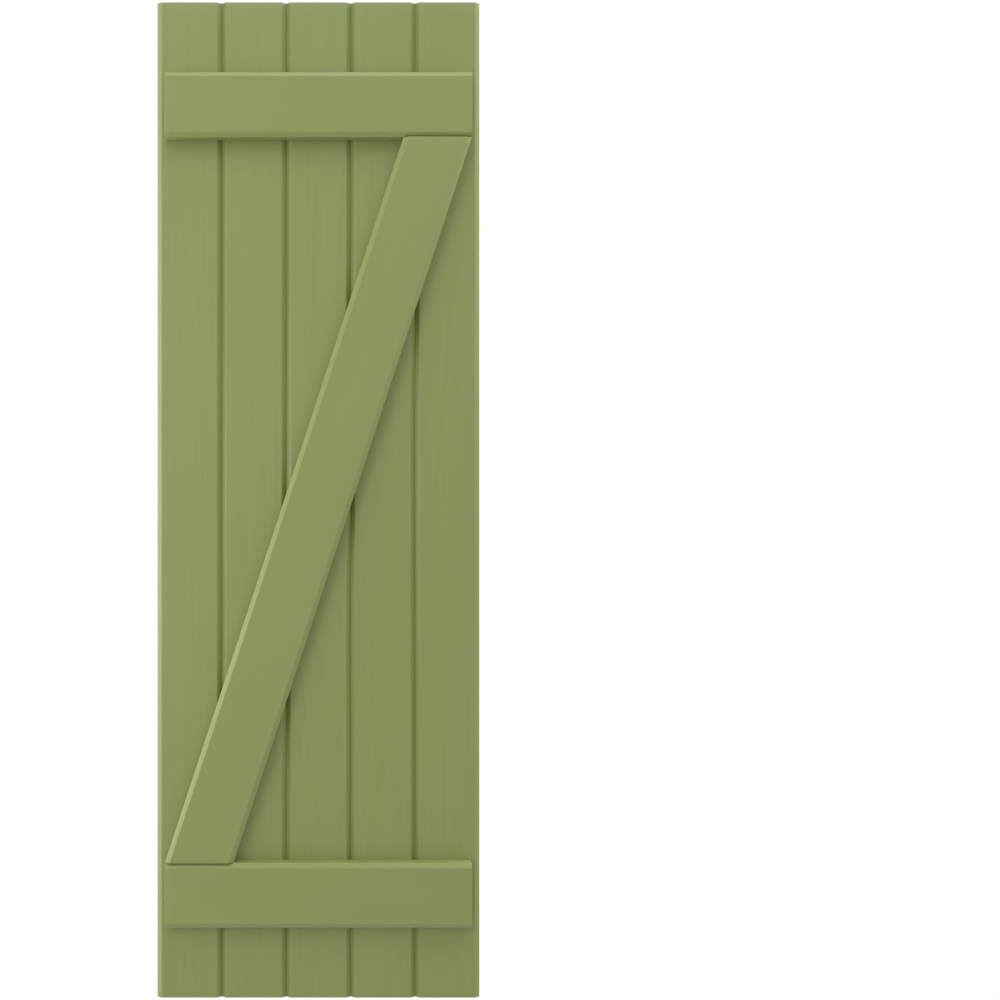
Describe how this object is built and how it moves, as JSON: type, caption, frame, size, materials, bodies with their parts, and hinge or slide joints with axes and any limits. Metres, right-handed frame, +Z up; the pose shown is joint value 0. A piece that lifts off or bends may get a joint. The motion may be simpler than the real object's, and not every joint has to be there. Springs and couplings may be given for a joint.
{
  "type": "board and batten shutter",
  "caption": "Wall-fixed decorative shutter of chamfered upright boards held by a top batten, a bottom batten and a diagonal brace, painted sage green.",
  "frame": {"origin": "middle of the back face, which lies against the wall, on the middle board", "axes": "+X to the right seen from the front, +Y out of the back into the wall, +Z up"},
  "size_m": [0.4444, 0.0381, 1.3716],
  "materials": {
    "board_paint": "satin",
    "batten_paint": "satin",
    "screw_zinc": "satin"
  },
  "bodies": {
    "root": {"board_1": "board_paint", "board_2": "board_paint", "board_3": "board_paint", "board_4": "board_paint", "board_5": "board_paint", "bottom_batten": "batten_paint", "bottom_batten_screw_1": "screw_zinc", "bottom_batten_screw_10": "screw_zinc", "bottom_batten_screw_2": "screw_zinc", "bottom_batten_screw_3": "screw_zinc", "bottom_batten_screw_4": "screw_zinc", "bottom_batten_screw_5": "screw_zinc", "bottom_batten_screw_6": "screw_zinc", "bottom_batten_screw_7": "screw_zinc", "bottom_batten_screw_8": "screw_zinc", "bottom_batten_screw_9": "screw_zinc", "diagonal_brace": "batten_paint", "diagonal_brace_screw_1": "screw_zinc", "diagonal_brace_screw_10": "screw_zinc", "diagonal_brace_screw_2": "screw_zinc", "diagonal_brace_screw_3": "screw_zinc", "diagonal_brace_screw_4": "screw_zinc", "diagonal_brace_screw_5": "screw_zinc", "diagonal_brace_screw_6": "screw_zinc", "diagonal_brace_screw_7": "screw_zinc", "diagonal_brace_screw_8": "screw_zinc", "diagonal_brace_screw_9": "screw_zinc", "top_batten": "batten_paint", "top_batten_screw_1": "screw_zinc", "top_batten_screw_10": "screw_zinc", "top_batten_screw_2": "screw_zinc", "top_batten_screw_3": "screw_zinc", "top_batten_screw_4": "screw_zinc", "top_batten_screw_5": "screw_zinc", "top_batten_screw_6": "screw_zinc", "top_batten_screw_7": "screw_zinc", "top_batten_screw_8": "screw_zinc", "top_batten_screw_9": "screw_zinc"}
  },
  "joints": []
}
